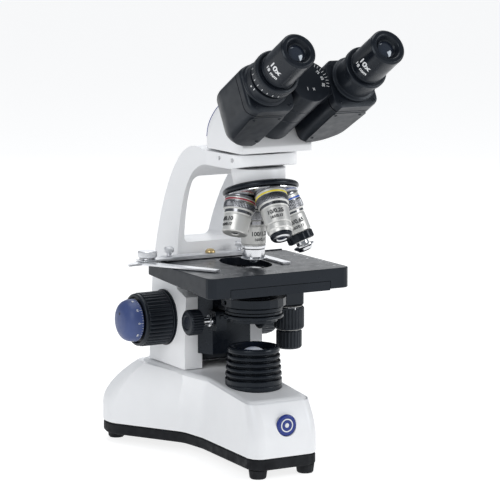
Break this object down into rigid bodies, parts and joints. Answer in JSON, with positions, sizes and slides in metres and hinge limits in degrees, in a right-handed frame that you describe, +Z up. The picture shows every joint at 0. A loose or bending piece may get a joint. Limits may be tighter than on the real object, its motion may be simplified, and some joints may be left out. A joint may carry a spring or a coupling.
{
  "type": "binocular microscope",
  "caption": "Upright laboratory microscope with a folding binocular head, revolving objectives, a mechanical stage, a condenser and coaxial focus knobs.",
  "frame": {"origin": "middle of the object's outline seen from above, at table height", "axes": "+Z up, -Y towards the user, who looks down the eyepieces from the -Y side; +X to the user's right"},
  "size_m": [0.1612, 0.2867, 0.3413],
  "materials": {
    "white_paint": "smooth satin white paint",
    "black_plastic": "moulded black plastic with a fine grain",
    "black_metal": "satin black anodised and painted metal",
    "stage_black": "hard black stage enamel",
    "blue_plastic": "dark blue moulded plastic",
    "badge_blue": "glossy blue plastic",
    "chrome": "polished chrome plate",
    "satin_steel": "satin nickel plate",
    "brass": "turned brass",
    "rubber": "matt black rubber",
    "glass": "coated optical glass"
  },
  "bodies": {
    "stand": {"base_shell": "white_paint", "base_plate": "black_plastic", "foot_front_left": "rubber", "foot_front_right": "rubber", "foot_rear_left": "rubber", "foot_rear_right": "rubber", "front_badge": "badge_blue", "power_inlet": "black_plastic", "lamp_collar": "black_metal", "field_lens": "glass", "arm": "white_paint", "focus_guide": "black_metal", "head_clamp_screw_rear": "black_metal", "head_clamp_screw_front": "black_metal", "nosepiece_mount": "white_paint", "nosepiece_disc": "black_metal"},
    "switch": {"power_switch": "black_plastic"},
    "dimmer": {"dimmer_wheel": "black_plastic"},
    "coarse_knobs": {"coarse_knob_left": "black_plastic", "coarse_knob_right": "black_plastic"},
    "fine_knobs": {"fine_knob_left": "blue_plastic", "fine_knob_right": "blue_plastic"},
    "focus_block": {"focus_slide": "black_metal"},
    "stage_carrier": {"stage_bracket": "black_metal", "lower_stage_plate": "black_metal"},
    "stage": {"stage_plate": "stage_black", "stage_knob_block": "black_plastic"},
    "y_knob": {"stage_y_knob": "black_plastic"},
    "x_knob": {"stage_x_knob": "black_plastic"},
    "holder": {"slide_holder": "satin_steel", "holder_stop_screw": "brass"},
    "left_thumb_screw": {"thumb_screw_left": "satin_steel"},
    "right_thumb_screw": {"thumb_screw_right": "satin_steel"},
    "finger": {"slide_finger": "satin_steel", "finger_knob": "satin_steel"},
    "condenser": {"condenser_holder": "black_metal", "condenser_body": "black_metal", "condenser_lens": "glass"},
    "condenser_screw": {"condenser_clamp_screw": "brass"},
    "condenser_drive": {"condenser_knob": "black_plastic"},
    "iris": {"iris_lever": "satin_steel"},
    "filter": {"filter_holder": "black_metal"},
    "nosepiece": {"turret": "chrome", "objective_4x": "chrome", "objective_10x": "chrome", "objective_40x": "chrome", "objective_100x": "chrome"},
    "nose_40x": {"nose_40x": "satin_steel"},
    "nose_100x": {"nose_100x": "satin_steel"},
    "head": {"head_shell": "white_paint", "head_trim": "badge_blue", "hinge_hub": "black_plastic"},
    "left_arm": {"left_prism_arm": "black_plastic", "left_tube": "black_plastic"},
    "right_arm": {"right_prism_arm": "black_plastic", "right_tube": "black_plastic"},
    "diopter": {"diopter_ring": "black_plastic"},
    "diopter_slide": {"diopter_sleeve": "black_metal"},
    "left_eyepiece": {"left_eyepiece": "black_metal"},
    "right_eyepiece": {"right_eyepiece": "black_metal"}
  },
  "joints": [
    {"name": "head_turn", "type": "hinge", "parent": "stand", "child": "head", "pos_m": [0.0064, -0.0066, 0.2435], "axis": [0, 0, 1], "continuous": true},
    {"name": "left_arm_fold", "type": "hinge", "parent": "head", "child": "left_arm", "pos_m": [0.0064, -0.05856, 0.2846], "axis": [0, -0.866, 0.5], "range_deg": [-45, 18]},
    {"name": "right_arm_fold", "type": "hinge", "parent": "head", "child": "right_arm", "pos_m": [0.0064, -0.05856, 0.2846], "axis": [0, -0.866, 0.5], "range_deg": [-18, 45]},
    {"name": "diopter_turn", "type": "hinge", "parent": "left_arm", "child": "diopter", "pos_m": [-0.03095, -0.1036, 0.3106], "axis": [0, -0.866, 0.5], "range_deg": [-152, 152]},
    {"name": "diopter_travel", "type": "slide", "parent": "left_arm", "child": "diopter_slide", "axis": [0, -0.866, 0.5], "range_m": [-0.0021, 0.0021]},
    {"name": "left_eyepiece_lift", "type": "slide", "parent": "diopter_slide", "child": "left_eyepiece", "axis": [0, -0.866, 0.5], "range_m": [0, 0.035]},
    {"name": "right_eyepiece_lift", "type": "slide", "parent": "right_arm", "child": "right_eyepiece", "axis": [0, -0.866, 0.5], "range_m": [0, 0.035]},
    {"name": "nosepiece_turn", "type": "hinge", "parent": "stand", "child": "nosepiece", "pos_m": [0.00438, -0.02303, 0.20858], "axis": [0.0377, 0.3067, 0.9511], "continuous": true},
    {"name": "nose_40x_spring", "type": "slide", "parent": "nosepiece", "child": "nose_40x", "axis": [-0.2709, 0.3294, 0.9045], "range_m": [0, 0.002], "stiffness_N_per_m": 182.08, "springref_m": -0.003},
    {"name": "nose_100x_spring", "type": "slide", "parent": "nosepiece", "child": "nose_100x", "axis": [0, 0, 1], "range_m": [0, 0.002], "stiffness_N_per_m": 182.08, "springref_m": -0.003},
    {"name": "coarse_turn", "type": "hinge", "parent": "stand", "child": "coarse_knobs", "pos_m": [0.0064, 0.0756, 0.1054], "axis": [1, 0, 0], "range_deg": [-117, 2]},
    {"name": "coarse_focus", "type": "slide", "parent": "stand", "child": "focus_block", "axis": [0, 0, 1], "range_m": [-0.01205, 0]},
    {"name": "fine_turn", "type": "hinge", "parent": "stand", "child": "fine_knobs", "pos_m": [0.0064, 0.0756, 0.1054], "axis": [1, 0, 0], "range_deg": [-366, 366]},
    {"name": "fine_focus", "type": "slide", "parent": "focus_block", "child": "stage_carrier", "axis": [0, 0, 1], "range_m": [-0.00091, 0.00091]},
    {"name": "stage_y_travel", "type": "slide", "parent": "stage_carrier", "child": "stage", "axis": [0, 1, 0], "range_m": [-0.02805, 0]},
    {"name": "y_knob_turn", "type": "hinge", "parent": "stage", "child": "y_knob", "pos_m": [0.0544, 0.0214, 0.107], "axis": [0, 0, 1], "range_deg": [-2, 324]},
    {"name": "stage_x_travel", "type": "slide", "parent": "stage", "child": "holder", "axis": [1, 0, 0], "range_m": [-0.01005, 0.04505]},
    {"name": "x_knob_turn", "type": "hinge", "parent": "stage", "child": "x_knob", "pos_m": [0.0544, 0.0214, 0.09], "axis": [0, 0, 1], "range_deg": [-62, 273]},
    {"name": "left_thumb_screw_turn", "type": "hinge", "parent": "holder", "child": "left_thumb_screw", "pos_m": [-0.0386, 0.0466, 0.163], "axis": [0, 0, 1], "continuous": true},
    {"name": "right_thumb_screw_turn", "type": "hinge", "parent": "holder", "child": "right_thumb_screw", "pos_m": [0.0244, 0.0466, 0.163], "axis": [0, 0, 1], "continuous": true},
    {"name": "finger_swing", "type": "hinge", "parent": "holder", "child": "finger", "pos_m": [-0.0596, 0.0424, 0.157], "axis": [0, 0, 1], "range_deg": [-30, 0], "stiffness_Nm_per_rad": 0.02276, "springref_deg": 22.92},
    {"name": "condenser_turn", "type": "hinge", "parent": "stage_carrier", "child": "condenser_drive", "pos_m": [-0.0336, 0.0214, 0.11], "axis": [1, 0, 0], "range_deg": [-2, 93]},
    {"name": "condenser_travel", "type": "slide", "parent": "stage_carrier", "child": "condenser", "axis": [0, 0, 1], "range_m": [-0.00605, 0]},
    {"name": "condenser_screw_turn", "type": "hinge", "parent": "condenser", "child": "condenser_screw", "pos_m": [-0.0216, -0.0066, 0.1284], "axis": [1, 0, 0], "continuous": true},
    {"name": "iris_turn", "type": "hinge", "parent": "condenser", "child": "iris", "pos_m": [0.0064, -0.0066, 0.12], "axis": [0, 0, 1], "range_deg": [-40, 40]},
    {"name": "filter_swing", "type": "hinge", "parent": "condenser", "child": "filter", "pos_m": [-0.0106, 0.0104, 0.114], "axis": [0, 0, 1], "range_deg": [-80, 0]},
    {"name": "dimmer_turn", "type": "hinge", "parent": "stand", "child": "dimmer", "pos_m": [-0.0186, 0.1034, 0.005], "axis": [0, 0, 1], "range_deg": [0, 270]},
    {"name": "switch_rock", "type": "hinge", "parent": "stand", "child": "switch", "pos_m": [-0.0156, 0.1384, 0.035], "axis": [1, 0, 0], "range_deg": [0, 12]}
  ],
  "couplings": [
    {"joint": "right_arm_fold", "follows": "left_arm_fold", "ratio": -1},
    {"joint": "diopter_turn", "follows": "diopter_travel", "rad_per_m": 1250},
    {"joint": "coarse_turn", "follows": "coarse_focus", "rad_per_m": 166.67},
    {"joint": "fine_turn", "follows": "fine_focus", "rad_per_m": 6981.3},
    {"joint": "y_knob_turn", "follows": "stage_y_travel", "rad_per_m": -200},
    {"joint": "x_knob_turn", "follows": "stage_x_travel", "rad_per_m": 104.72},
    {"joint": "condenser_turn", "follows": "condenser_travel", "rad_per_m": -261.8}
  ]
}
